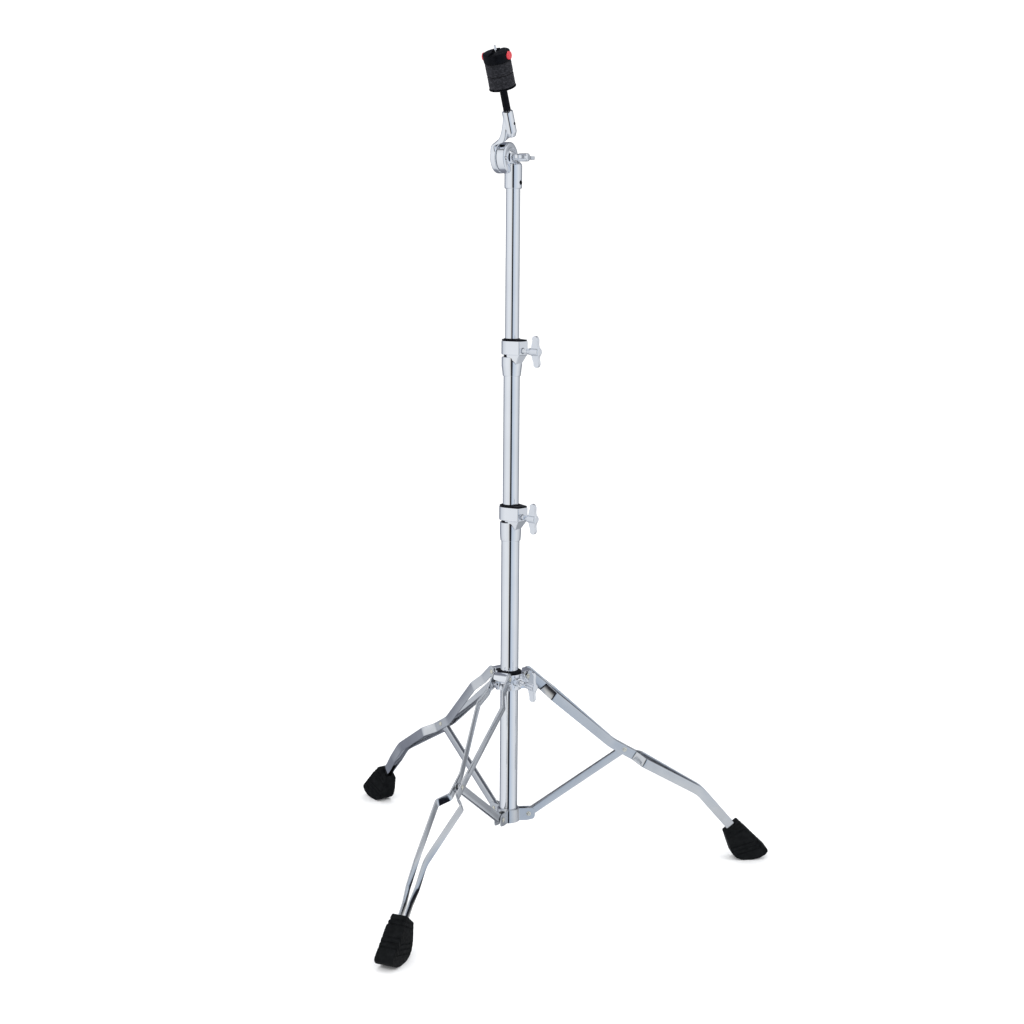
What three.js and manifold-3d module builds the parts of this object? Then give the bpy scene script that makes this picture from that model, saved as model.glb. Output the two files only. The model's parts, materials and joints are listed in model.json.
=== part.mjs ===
// A straight cymbal stand: a double-braced folding tripod, two telescopic tubes held by
// wing-bolt clamps, and a tilter that carries a rod, two felts and a quick-release cap.
// Millimetres, +Z up. The tubes stand on the Z axis until the last lines, which move the
// whole stand so that its origin is the middle of its footprint.
import * as THREE from 'three';
import { mergeVertices } from 'three/addons/utils/BufferGeometryUtils.js';
import Module from 'manifold-3d';

const wasm = await Module();
wasm.setup();

// ---- Driving dimensions -------------------------------------------------------------

const GAP = 0.3;                       // between two pieces that touch
const ROUND = 24;                      // sides of a tube or a casting
const SMALL_ROUND = 12;                // sides of a rivet, a bolt or its hole

const BASE_TUBE = { outer: 12.7, inner: 11.45, bottom: 74.8, top: 506 };
const MIDDLE_TUBE = { outer: 11.1, inner: 9.9, bottom: 330, top: 734.8 };
const UPPER_TUBE = { outer: 9.55, inner: 8.3, bottom: 540, top: 977 };

// A clamp casting: a socket on the lower tube, a collar round the sliding one, and a lug
// that takes the wing bolt. Heights are counted from the socket's lower edge.
const BASE_CLAMP = {
  z: 481, collarRadius: 16, lugReach: 23.8, lugWidth: 19, socketLow: 14.5, socketTop: 14.9,
  wingStart: 35.4, wingTurn: 2,
};
const MIDDLE_CLAMP = {
  z: 709.8, collarRadius: 14.4, lugReach: 22, lugWidth: 17, socketLow: 12.8, socketTop: 14,
  wingStart: 38, wingTurn: 5,
};
const CLAMP_SOCKET = 26;               // height of the socket
const CLAMP_SLIT = 3.4;                // height of the slit that lets the collar flex
const CLAMP_HEIGHT = 48;               // socket, slit and collar together
const CLAMP_BOLT_Z = 35;
const BRIM_THICK = 1.7;                // plastic brim on top of the collar
const BRIM_INSET = 0.5;                // of the brim from the collar's outline
const CLAMP_AZIMUTH = -51;             // degrees from the first leg to the wing bolts

// A wing bolt: its threaded shank, a cone that widens to the hub, and the wings.
const WING = { shank: 3, cone: 8, neck: 3.8, hub: 5.4, depth: 14, reach: 21.5, thick: 4.4 };

const HUB = { z: 268, height: 23, inner: 13.9, outer: 18, lugHalf: 10.4, boltZ: 281 };
const HUB_BOLT_AZIMUTH = -57;
const HUB_BOLT_REACH = 43;             // from the tube's axis to the wings
const LEG_NAMES = ['right', 'left', 'front'];
const LEG_STEP = 120;                  // degrees between the legs

// Pivots of one leg's linkage, as distance from the tube's axis and height.
const LEG_PIVOT = [25.9, 288.2];       // on the hub
const BRACE_PIVOT = [166.3, 174.8];    // brace on leg
const BRACKET_PIVOT = [28.8, 82.9];    // brace on bottom bracket

const LEG_BAR = { width: 13.5, thick: 2 };
const LEG_LINE = [[27.4, 289.8], [148, 184], [278, 109], [334, 44.5]];
const BRACE_BAR = { width: 10.8, thick: 1.6, middle: 2.6 };
const RIVET = { shank: 2, hole: 2.45, head: 3.3, headHeight: 0.9 };
const BRACKET = { z: 72.8, height: 19, ring: 2.8, thick: 1.4, earMiddle: 4.5, earReach: 38 };
const FOOT = { width: 26, mouthHalf: 13.4, grip: 12, socketDepth: 25 };

const TILT_AZIMUTH = -34.5;            // degrees, direction of the tilter's pivot
const TILT_HEIGHT = 1001.5;            // of the pivot
const TILT_SHIFT = -8;                 // of the pivot, across the tube
const TILT_LEAN = 24;                  // degrees that the rod leans
const TILT_DISC = { radius: 20.6, face: -11.6, front: 1.5, back: -21.9 };
const HOLDER = { radius: 11.9, bottom: 961, notch: 980.4, top: 998, boreTop: 978 };
const ROD_OFFSET = 8.5;                // of the cymbal rod, along the pivot
const ROD = { radius: 3.2, bottom: 42, top: 151.5, tipRadius: 1.5, tipBottom: 140 };
const ROD_HOLDER = { radius: 7.4, bottom: 29, top: 64.5 };
const TILT_WING = { start: 13, tip: -20, reach: 24 };
const SLEEVE = { inner: 3.55, outer: 5, bottom: 65, top: 143, flange: 18, flangeZ: 95.5, flangeHeight: 1.6 };
const FELT = { radius: 18, hole: 5.35, height: 16.6, bottom: 97.4 };
const CAP = { radius: 18, wall: 11.8, height: 13.4, bottom: 131.2, slot: 5, slotDepth: 3 };
const BUTTON = { radius: 5.2, inner: 11.5, outer: 20.4, height: 6.4 };

// ---- Materials ----------------------------------------------------------------------

const finish = (color, roughness, metalness) =>
  new THREE.MeshStandardMaterial({ color, roughness, metalness });
const CHROME = finish('#dfe2e8', 0.08, 1);
const STEEL = finish('#c6cad2', 0.22, 1);
const NICKEL = finish('#d8d4b8', 0.3, 1);
const PLASTIC = finish('#15161a', 0.45, 0);
const RUBBER = finish('#1f2123', 0.8, 0);
const WOOL = finish('#2d2d33', 1, 0);
const RED = finish('#d0404a', 0.4, 0);

// ---- Shape tools --------------------------------------------------------------------

const radians = (degrees) => THREE.MathUtils.degToRad(degrees);

function signedVolume(position, index) {
  const [a, b, c] = [new THREE.Vector3(), new THREE.Vector3(), new THREE.Vector3()];
  let volume = 0;
  for (let i = 0; i < index.count; i += 3) {
    a.fromBufferAttribute(position, index.getX(i));
    b.fromBufferAttribute(position, index.getX(i + 1));
    c.fromBufferAttribute(position, index.getX(i + 2));
    volume += a.dot(b.cross(c)) / 6;
  }
  return volume;
}

// A closed geometry as a solid, with shared corners merged and its faces turned outwards.
function toSolid(geometry) {
  const bare = geometry.clone();
  bare.deleteAttribute('normal');
  bare.deleteAttribute('uv');
  const merged = mergeVertices(bare, 1e-4);
  const triVerts = Uint32Array.from(merged.index.array);
  if (signedVolume(merged.attributes.position, merged.index) < 0) {
    triVerts.reverse();
  }
  const vertProperties = Float32Array.from(merged.attributes.position.array);
  return new wasm.Manifold(new wasm.Mesh({ numProp: 3, vertProperties, triVerts }));
}

function toGeometry(solid) {
  const mesh = solid.getMesh();
  const geometry = new THREE.BufferGeometry();
  geometry.setAttribute('position', new THREE.BufferAttribute(Float32Array.from(mesh.vertProperties), 3));
  geometry.setIndex(new THREE.BufferAttribute(Uint32Array.from(mesh.triVerts), 1));
  return geometry;
}

const join = (...pieces) => toGeometry(pieces.map(toSolid).reduce((sum, piece) => sum.add(piece)));
const cut = (body, ...tools) =>
  toGeometry(tools.map(toSolid).reduce((rest, tool) => rest.subtract(tool), toSolid(body)));

// A profile of [radius, height] points turned round the Z axis.
function revolve(profile, sides = ROUND) {
  const points = profile.map(([radius, height]) => new THREE.Vector2(radius, height));
  return new THREE.LatheGeometry(points, sides).rotateX(Math.PI / 2);
}

function ring(inner, outer, bottom, top, sides = ROUND) {
  return revolve([[inner, bottom], [outer, bottom], [outer, top], [inner, top], [inner, bottom]], sides);
}

function post(radius, bottom, top, sides = ROUND) {
  return revolve([[0, bottom], [radius, bottom], [radius, top], [0, top]], sides);
}

// The same post lying along +X or +Y.
const postX = (radius, start, end, sides = SMALL_ROUND) =>
  post(radius, start, end, sides).rotateY(Math.PI / 2);
const postY = (radius, start, end, sides = SMALL_ROUND) =>
  post(radius, start, end, sides).rotateX(-Math.PI / 2);

function block(size, centre) {
  return new THREE.BoxGeometry(...size).translate(...centre);
}

// An outline of [x, z] points, made solid across Y between two values.
function slab(outline, yLow, yHigh) {
  const shape = new THREE.Shape(outline.map(([x, z]) => new THREE.Vector2(x, z)));
  const geometry = new THREE.ExtrudeGeometry(shape, { depth: yHigh - yLow, bevelEnabled: false });
  return geometry.rotateX(Math.PI / 2).translate(0, yHigh, 0);
}

// A closed skin through sections of four corners each, listed round in the same order.
function loft(sections) {
  const index = [];
  for (let i = 0; i < sections.length - 1; i += 1) {
    for (let k = 0; k < 4; k += 1) {
      const [a, b] = [4 * i + k, 4 * i + (k + 1) % 4];
      index.push(a, b, b + 4, a, b + 4, a + 4);
    }
  }
  const last = 4 * (sections.length - 1);
  index.push(2, 1, 0, 3, 2, 0, last, last + 1, last + 2, last, last + 2, last + 3);
  const geometry = new THREE.BufferGeometry();
  geometry.setAttribute('position', new THREE.Float32BufferAttribute(sections.flat(2), 3));
  geometry.setIndex(index);
  return geometry;
}

const CORNERS = [[1, 1], [-1, 1], [-1, -1], [1, -1]];

// A flat bar through stations {x, z, y, width}, its width in the XZ plane and square to its run.
function bar(stations, thick) {
  const heading = (p, q) => new THREE.Vector2(q.x - p.x, q.z - p.z).normalize();
  const sections = stations.map((station, i) => {
    const [before, after] = [stations[i - 1], stations[i + 1]];
    const arriving = before ? heading(before, station) : heading(station, after);
    const leaving = after ? heading(station, after) : arriving;
    const run = arriving.clone().add(leaving).normalize();
    const half = station.width / 2 / run.dot(leaving);
    return CORNERS.map(([across, side]) => [
      station.x - run.y * half * across, station.y + side * thick / 2, station.z + run.x * half * across]);
  });
  return loft(sections);
}

// ---- The scene graph ----------------------------------------------------------------

const stand = new THREE.Group();

function add(name, geometry, material, parent = stand) {
  const mesh = new THREE.Mesh(toGeometry(toSolid(geometry)), material);
  mesh.name = name;
  parent.add(mesh);
  return mesh;
}

function turnedGroup(azimuth, parent = stand) {
  const group = new THREE.Group();
  group.rotation.z = radians(azimuth);
  parent.add(group);
  return group;
}

// ---- Wing bolts ---------------------------------------------------------------------

// A wing bolt along +X from its tip to where its hub starts; the wings stand up and down.
function wingBolt(tip, hubStart, reach = WING.reach) {
  const { shank, cone, neck, hub, depth, thick } = WING;
  const lobe = [[0, 4], [1.5, 9], [3.2, 15], [3.4, 18.5], [5.4, 21], [9, 21.5], [12.6, 19.6], [13.4, 15],
    [12.8, 9], [depth, 4]];
  const scaled = lobe.map(([x, z]) => [hubStart + x, z * reach / WING.reach]);
  const mirrored = scaled.map(([x, z]) => [x, -z]).reverse();
  const wings = slab([...scaled, ...mirrored], -thick / 2, thick / 2);
  const middle = revolve([[0, hubStart - cone], [neck, hubStart - cone], [hub, hubStart + 1],
    [hub, hubStart + depth + 0.5], [0, hubStart + depth + 0.5]], SMALL_ROUND);
  return join(postX(shank, tip, hubStart), middle.rotateY(Math.PI / 2), wings);
}

// ---- Tubes --------------------------------------------------------------------------

const tube = ({ inner, outer, bottom, top }) => ring(inner, outer, bottom, top);
add('base_tube', tube(BASE_TUBE), CHROME);
add('middle_tube', tube(MIDDLE_TUBE), CHROME);
add('upper_tube', tube(UPPER_TUBE), CHROME);

// The cap plugs the base tube's foot, with a thin brim under its edge.
const capBottom = BASE_TUBE.bottom - GAP;
add('tube_end_cap', revolve([[0, capBottom - 1.6], [BASE_TUBE.outer, capBottom - 1.6],
  [BASE_TUBE.outer, capBottom], [BASE_TUBE.inner - GAP, capBottom],
  [BASE_TUBE.inner - GAP, capBottom + 8], [0, capBottom + 8]]), PLASTIC);

// ---- Height clamps ------------------------------------------------------------------

// Seen from above, the collar is a circle whose tangents run out to the lug's face.
function clampOutline(clamp, inset = 0) {
  const radius = clamp.collarRadius - inset;
  const reach = clamp.lugReach - inset;
  const half = clamp.lugWidth / 2 - inset;
  const tangent = Math.atan2(half, reach) + Math.acos(radius / Math.hypot(reach, half));
  const outline = new THREE.Shape();
  outline.moveTo(reach, -half);
  outline.lineTo(reach, half);
  outline.absarc(0, 0, radius, tangent, 2 * Math.PI - tangent, false);
  return outline;
}

function clampCasting(clamp, holds) {
  const { z, lugReach, lugWidth, socketLow, socketTop } = clamp;
  const collarZ = z + CLAMP_SOCKET + CLAMP_SLIT;
  const top = z + CLAMP_HEIGHT;
  const bore = holds.outer + GAP;
  const socket = revolve([[0, z], [bore + 0.8, z], [socketLow, z + 4.5], [socketTop, z + 14],
    [socketTop, z + CLAMP_SOCKET], [0, z + CLAMP_SOCKET]]);

  const depth = top - collarZ;
  const options = { depth, bevelEnabled: false, curveSegments: 14 };
  const collar = new THREE.ExtrudeGeometry(clampOutline(clamp), options);
  collar.translate(0, 0, collarZ);

  // The neck widens from the socket to the lug's side of the collar. The slit is what it
  // leaves open on the other side.
  const neckSection = (near, nearHalf, far, farHalf, height) =>
    [[near, nearHalf, height], [near, -nearHalf, height], [far, -farHalf, height], [far, farHalf, height]];
  const neck = loft([neckSection(2, 10, socketTop - 1.5, 5, z + 15),
    neckSection(2, socketTop - 1, lugReach - 0.4, lugWidth / 2 - 0.4, collarZ + 0.5)]);
  const boltHole = postX(WING.shank + 0.4, 0, lugReach + 2).translate(0, 0, z + CLAMP_BOLT_Z);
  const solid = join(socket, collar, neck);
  return cut(solid, post(bore, z - 1, top + 1), boltHole);
}

// The bushing lines the casting, and its lip shows above the brim.
function clampBushing(clamp, holds, slides) {
  const inner = slides.outer + GAP;
  const outer = holds.outer;
  const bottom = clamp.z + CLAMP_SOCKET - 0.4;
  const top = clamp.z + CLAMP_HEIGHT + BRIM_THICK + 1.4;
  return revolve([[inner, bottom], [outer, bottom], [outer, top - 0.8], [outer - 0.5, top], [inner, top],
    [inner, bottom]]);
}

// The plastic brim covers the collar and its lug.
function clampBrim(clamp, holds) {
  const outline = clampOutline(clamp, BRIM_INSET);
  outline.holes.push(new THREE.Path().absarc(0, 0, holds.outer + GAP, 0, 2 * Math.PI, true));
  const options = { depth: BRIM_THICK, bevelEnabled: false, curveSegments: 14 };
  const brim = new THREE.ExtrudeGeometry(outline, options);
  return brim.translate(0, 0, clamp.z + CLAMP_HEIGHT + GAP);
}

function addClamp(stage, clamp, holds, slides) {
  const group = turnedGroup(CLAMP_AZIMUTH);
  add(`${stage}_clamp`, clampCasting(clamp, holds), CHROME, group);
  add(`${stage}_clamp_brim`, clampBrim(clamp, holds), PLASTIC, group);
  add(`${stage}_clamp_bushing`, clampBushing(clamp, holds, slides), PLASTIC, group);
  const bolt = wingBolt(holds.outer + GAP, clamp.wingStart);
  const wing = add(`${stage}_wing_bolt`, bolt, CHROME, group);
  wing.position.z = clamp.z + CLAMP_BOLT_Z;
  wing.rotation.x = radians(clamp.wingTurn);
}

addClamp('base', BASE_CLAMP, BASE_TUBE, MIDDLE_TUBE);
addClamp('middle', MIDDLE_CLAMP, MIDDLE_TUBE, UPPER_TUBE);

// ---- Tripod hub ---------------------------------------------------------------------

function hubCollar() {
  const top = HUB.z + HUB.height;
  const side = [[15, HUB.z + 2], [22, HUB.z + 2], [33, 281], [34, 288], [31.5, 294], [26, 296],
    [18.6, 295], [18.6, top], [15, top]];
  const pivotHole = postY(RIVET.hole, -20, 20).translate(LEG_PIVOT[0], 0, LEG_PIVOT[1]);
  const lug = cut(slab(side, -HUB.lugHalf, HUB.lugHalf), pivotHole);
  const lugs = LEG_NAMES.map((name, i) => lug.clone().rotateZ(radians(i * LEG_STEP)));
  const place = (geometry) => geometry.translate(0, 0, HUB.boltZ).rotateZ(radians(HUB_BOLT_AZIMUTH));
  const boss = place(postX(6.5, 14.5, 24.5));
  const boltHole = place(postX(WING.shank + 0.4, 0, 30));
  const body = join(post(HUB.outer, HUB.z, top), ...lugs, boss);
  return cut(body, post(HUB.inner, HUB.z - 1, top + 10), boltHole);
}

function hubBushing() {
  const [inner, outer] = [BASE_TUBE.outer + GAP, HUB.inner - GAP];
  const brimZ = HUB.z + HUB.height + GAP;
  return revolve([[inner, HUB.z + 0.5], [outer, HUB.z + 0.5], [outer, brimZ], [17.2, brimZ],
    [17.2, brimZ + 3], [15.6, brimZ + 4.2], [inner, brimZ + 4.2], [inner, HUB.z + 0.5]]);
}

add('hub_collar', hubCollar(), CHROME);
add('hub_bushing', hubBushing(), PLASTIC);
const hubBoltGroup = turnedGroup(HUB_BOLT_AZIMUTH);
const hubBolt = add('hub_wing_bolt', wingBolt(HUB.inner + GAP, HUB_BOLT_REACH), CHROME, hubBoltGroup);
hubBolt.position.z = HUB.boltZ;

// ---- Bottom bracket -----------------------------------------------------------------

function bottomBracket() {
  const { z, height, ring: clipThick, thick, earMiddle, earReach } = BRACKET;
  const clip = post(BASE_TUBE.outer + GAP + clipThick, z, z + height);
  const side = [[12, z], [24, z], [earReach - 2, z + 3], [earReach, z + 6], [earReach, z + height - 4],
    [earReach - 3, z + height], [12, z + height]];
  const hole = postY(RIVET.hole, -10, 10).translate(BRACKET_PIVOT[0], 0, BRACKET_PIVOT[1]);
  const ears = [];
  for (const [i] of LEG_NAMES.entries()) {
    for (const middle of [-earMiddle, earMiddle]) {
      const ear = cut(slab(side, middle - thick / 2, middle + thick / 2), hole);
      ears.push(ear.rotateZ(radians(i * LEG_STEP)));
    }
  }
  return cut(join(clip, ...ears), post(BASE_TUBE.outer + GAP, z - 1, z + height + 1));
}

add('bottom_bracket', bottomBracket(), STEEL);

// ---- Legs, braces and rivets --------------------------------------------------------

// A rivet through everything between two lateral values, with a head outside each.
function rivet(half) {
  const head = RIVET.headHeight;
  return join(postY(RIVET.shank, -half, half), postY(RIVET.head, half, half + head),
    postY(RIVET.head, -half - head, -half));
}

// A rivet through one leg bar only, so that the brace ends stay free of it.
function halfRivet(inner, outer) {
  return join(postY(RIVET.shank, inner, outer), postY(RIVET.head, outer, outer + RIVET.headHeight));
}

// The middle of a leg bar: distance along the leg's line from its hub end, and lateral place.
function legStations() {
  const lengths = LEG_LINE.slice(1).map(([x, z], i) => Math.hypot(x - LEG_LINE[i][0], z - LEG_LINE[i][1]));
  const half = LEG_BAR.width / 2;
  const bend = lengths[0];
  const ankle = bend + lengths[1];
  const end = ankle + lengths[2];
  const plan = [
    [-6.4, 11.8, 0.32], [-4.8, 11.8, 0.7], [-2.5, 11.8, 0.93], [0, 11.8, 1],
    [26, 11.8, 1], [46, 19, 1],
    [bend, 4.7, 1], [bend + 38, 4.7, 1],
    [bend + 52, 18.6, 1],
    [ankle, 6.4, 1], [ankle + 34, 6.4, 1], [ankle + 56, 4.2, 1], [end, 4.2, 1],
  ];
  return plan.map(([along, y, share]) => {
    let piece = 0;
    let rest = along;
    while (piece < 2 && rest > lengths[piece]) {
      rest -= lengths[piece];
      piece += 1;
    }
    const [from, to] = [LEG_LINE[piece], LEG_LINE[piece + 1]];
    const t = rest / lengths[piece];
    const [x, z] = [from[0] + t * (to[0] - from[0]), from[1] + t * (to[1] - from[1])];
    return { x, z, y, width: 2 * half * share };
  });
}

function legBar(side) {
  const stations = legStations().map((station) => ({ ...station, y: station.y * side }));
  const hole = (pivot) => postY(RIVET.hole, -30, 30).translate(pivot[0], 0, pivot[1]);
  return cut(bar(stations, LEG_BAR.thick), hole(LEG_PIVOT), hole(BRACE_PIVOT));
}

// A straight bar with round ends between the bracket pivot and the leg's brace pivot.
function braceBar(side) {
  const [[x0, z0], [x1, z1]] = [BRACKET_PIVOT, BRACE_PIVOT];
  const length = Math.hypot(x1 - x0, z1 - z0);
  const radius = BRACE_BAR.width / 2;
  const shape = new THREE.Shape();
  shape.absarc(0, 0, radius, Math.PI / 2, 1.5 * Math.PI, false);
  shape.absarc(length, 0, radius, -Math.PI / 2, Math.PI / 2, false);
  for (const x of [0, length]) {
    shape.holes.push(new THREE.Path().absarc(x, 0, RIVET.hole, 0, 2 * Math.PI, true));
  }
  const options = { depth: BRACE_BAR.thick, bevelEnabled: false, curveSegments: 6 };
  const plate = new THREE.ExtrudeGeometry(shape, options);
  plate.rotateX(Math.PI / 2).translate(0, BRACE_BAR.thick / 2 + side * BRACE_BAR.middle, 0);
  plate.rotateY(-Math.atan2(z1 - z0, x1 - x0));
  return plate.translate(x0, 0, z0);
}

// A rubber foot: a flat upper face that carries on the leg's slope, a curved sole, and a
// socket for both bars.
function foot() {
  const [from, to] = LEG_LINE.slice(2);
  const run = new THREE.Vector2(to[0] - from[0], to[1] - from[1]).normalize();
  const mouth = new THREE.Vector2(to[0], to[1]).addScaledVector(run, -FOOT.grip);
  const mouthCorner = (side) =>
    [mouth.x - side * FOOT.mouthHalf * run.y, mouth.y + side * FOOT.mouthHalf * run.x];
  const sole = [[324.8, 21], [327.6, 13.5], [333.5, 8], [341, 5.2], [347, 4.6], [357, 4.6], [368, 7],
    [376.5, 11.5], [380, 16]];
  const body = slab([mouthCorner(-1), ...sole, [379.5, 20], mouthCorner(1)], -FOOT.width / 2, FOOT.width / 2);
  const socketSize = [FOOT.socketDepth, 10.4 + 2 * GAP, LEG_BAR.width + 2 * GAP];
  const socket = block(socketSize, [FOOT.socketDepth / 2 - 12, 0, 0]);
  socket.rotateY(-Math.atan2(run.y, run.x)).translate(mouth.x, 0, mouth.y);
  return cut(body, socket);
}

LEG_NAMES.forEach((name, i) => {
  const group = turnedGroup(i * LEG_STEP);
  const put = (piece, pivot) => piece.translate(pivot[0], 0, pivot[1]);
  add(`${name}_leg_bar_a`, legBar(-1), STEEL, group);
  add(`${name}_leg_bar_b`, legBar(1), STEEL, group);
  add(`${name}_foot`, foot(), RUBBER, group);
  add(`${name}_brace_bar_a`, braceBar(-1), STEEL, group);
  add(`${name}_brace_bar_b`, braceBar(1), STEEL, group);
  add(`${name}_hub_rivet`, put(rivet(13), LEG_PIVOT), NICKEL, group);
  add(`${name}_bracket_rivet`, put(rivet(5.4), BRACKET_PIVOT), NICKEL, group);
  add(`${name}_brace_rivet_a`, put(halfRivet(3.9, 5.9).rotateZ(Math.PI), BRACE_PIVOT), NICKEL, group);
  add(`${name}_brace_rivet_b`, put(halfRivet(3.9, 5.9), BRACE_PIVOT), NICKEL, group);
});

// ---- Tilter -------------------------------------------------------------------------

// The tilter's own frame has X along the pivot, Y across it and Z up, on the tube's axis.
const tilter = turnedGroup(TILT_AZIMUTH);
const onPivot = (geometry) => geometry.translate(0, TILT_SHIFT, TILT_HEIGHT);

function tilterHolder() {
  const { radius, bottom, notch, top, boreTop } = HOLDER;
  const notchFace = TILT_DISC.face + GAP;
  const shell = revolve([[0, bottom], [radius, bottom], [radius, top - 4], [radius - 4, top], [0, top]]);
  const away = block([20, 40, 60], [notchFace - 10, 0, notch + 30]);
  const disc = onPivot(postX(TILT_DISC.radius, notchFace, TILT_DISC.front, ROUND));
  const boss = onPivot(postX(8, 0, TILT_DISC.front + 3, 20));
  const bore = post(UPPER_TUBE.outer + GAP, bottom - 1, boreTop);
  const boltHole = onPivot(postX(WING.shank + 0.5, -30, 30));
  const screwHole = postX(2.9, 0, 20).translate(0, 0, 969);
  return cut(join(cut(shell, away), disc, boss), bore, boltHole, screwHole);
}

// The arm runs up from the rear disc and across to the holder that grips the cymbal rod.
function tilterArm() {
  const back = TILT_DISC.back;
  const disc = postX(TILT_DISC.radius, back, TILT_DISC.face - GAP, ROUND);
  const middle = (back + TILT_DISC.face) / 2;
  // The arm's middle as [along the pivot, up], its width across the pivot and its thickness.
  // It thickens forwards only above the holder's disc.
  const path = [[middle, 4, 36, 9.6], [middle, 14, 31, 9.6], [-15.5, 21.4, 26, 7.1], [-6.75, 24, 23.5, 13.5],
    [-2.5, 28, 21, 12], [0.1, 34, 17.5, 9.8], [2.7, 43, 15, 8.6], [5.2, 55, 13, 7.5], [5.5, 62, 12.5, 6]];
  const arm = loft(path.map(([x, z, width, thick]) =>
    CORNERS.map(([side, end]) => [x + side * thick / 2, end * width / 2, z])));
  const { radius, bottom, top } = ROD_HOLDER;
  const holder = revolve([[0, bottom], [5.4, bottom + 1], [radius, bottom + 5], [radius, top - 1.5],
    [radius - 1.5, top], [0, top]]);
  holder.translate(ROD_OFFSET, 0, 0);
  const bore = post(ROD.radius + GAP, ROD.bottom - 1, top + 1, 16).translate(ROD_OFFSET, 0, 0);
  const boltHole = postX(WING.shank + 0.5, TILT_WING.tip - GAP, 0);
  const screwHole = postX(2.4, ROD_OFFSET, ROD_OFFSET + 10).translate(0, 0, 47);
  return cut(join(disc, arm, holder), bore, boltHole, screwHole);
}

add('tilter_holder', tilterHolder(), CHROME, tilter);
const holderScrew = postX(2.5, UPPER_TUBE.outer + GAP, HOLDER.radius + 0.6).translate(0, 0, 969);
add('holder_set_screw', holderScrew, PLASTIC, tilter);
const tiltBolt = wingBolt(TILT_WING.tip, TILT_WING.start, TILT_WING.reach);
const tiltWing = add('tilter_wing_bolt', tiltBolt, CHROME, tilter);
tiltWing.position.set(0, TILT_SHIFT, TILT_HEIGHT);
tiltWing.rotation.x = Math.PI / 2;

// Everything above leans with the arm: its own frame has Z along the rod.
const leaning = new THREE.Group();
leaning.position.set(0, TILT_SHIFT, TILT_HEIGHT);
leaning.rotation.x = radians(TILT_LEAN);
tilter.add(leaning);
add('tilter_arm', tilterArm(), CHROME, leaning);
const armScrew = postX(2, ROD_OFFSET + ROD.radius + GAP, ROD_OFFSET + ROD_HOLDER.radius + 0.4);
add('arm_set_screw', armScrew.translate(0, 0, 47), PLASTIC, leaning);

const seat = new THREE.Group();
seat.position.x = ROD_OFFSET;
leaning.add(seat);
add('cymbal_rod', revolve([[0, ROD.bottom], [ROD.radius, ROD.bottom], [ROD.radius, ROD.tipBottom],
  [ROD.tipRadius, ROD.tipBottom + 1.5], [ROD.tipRadius, ROD.top - 0.5], [ROD.tipRadius - 0.5, ROD.top],
  [0, ROD.top]], 16), CHROME, seat);

// ---- Cymbal seat --------------------------------------------------------------------

function sleeve() {
  const { inner, outer, bottom, top, flange, flangeZ, flangeHeight } = SLEEVE;
  return revolve([[inner, bottom], [outer, bottom], [outer, flangeZ], [flange, flangeZ],
    [flange, flangeZ + flangeHeight], [outer, flangeZ + flangeHeight], [outer, top], [inner, top],
    [inner, bottom]], 24);
}

function quickCap() {
  const { radius, wall, height, bottom, slot, slotDepth } = CAP;
  const dome = revolve([[0, bottom], [radius - 0.8, bottom], [radius, bottom + 0.8], [radius, bottom + wall],
    [radius - 1.6, bottom + wall + 0.9], [radius - 7, bottom + height - 0.1], [0, bottom + height]], 28);
  const bore = post(SLEEVE.outer + GAP, bottom - 1, bottom + height + 1, 20);
  const notch = block([slot, 60, slotDepth * 2], [0, 0, bottom + height]);
  const pockets = [1, -1].map((side) => {
    const pocket = postX(BUTTON.radius + GAP, 8.8, 30, 16).translate(0, 0, bottom + BUTTON.height);
    return side > 0 ? pocket : pocket.rotateZ(Math.PI);
  });
  return cut(dome, bore, notch, ...pockets);
}

add('rod_sleeve', sleeve(), PLASTIC, seat);
const feltAt = (bottom) => ring(FELT.hole, FELT.radius, bottom, bottom + FELT.height, 28);
add('lower_felt', feltAt(FELT.bottom), WOOL, seat);
add('upper_felt', feltAt(FELT.bottom + FELT.height + GAP), WOOL, seat);
add('quick_release_cap', quickCap(), PLASTIC, seat);
for (const [name, turn] of [['right_button', 0], ['left_button', Math.PI]]) {
  const button = postX(BUTTON.radius, BUTTON.inner, BUTTON.outer, 16);
  button.translate(0, 0, CAP.bottom + BUTTON.height).rotateZ(turn);
  add(name, button, RED, seat);
}

// ---- The origin at the middle of the footprint, on the floor -------------------------

stand.updateMatrixWorld(true);
const box = new THREE.Box3().setFromObject(stand, true);
stand.position.set(-(box.min.x + box.max.x) / 2, -(box.min.y + box.max.y) / 2, -box.min.z);

export default stand;
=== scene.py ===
"""A straight cymbal stand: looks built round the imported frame.

Pieces are modelled in millimetres in a frame of their own, such as one leg's or one clamp's, and a
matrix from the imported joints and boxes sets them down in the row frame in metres.
"""

import json
import math

import bmesh
import bpy
from mathutils import Matrix, Vector, noise


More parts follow.
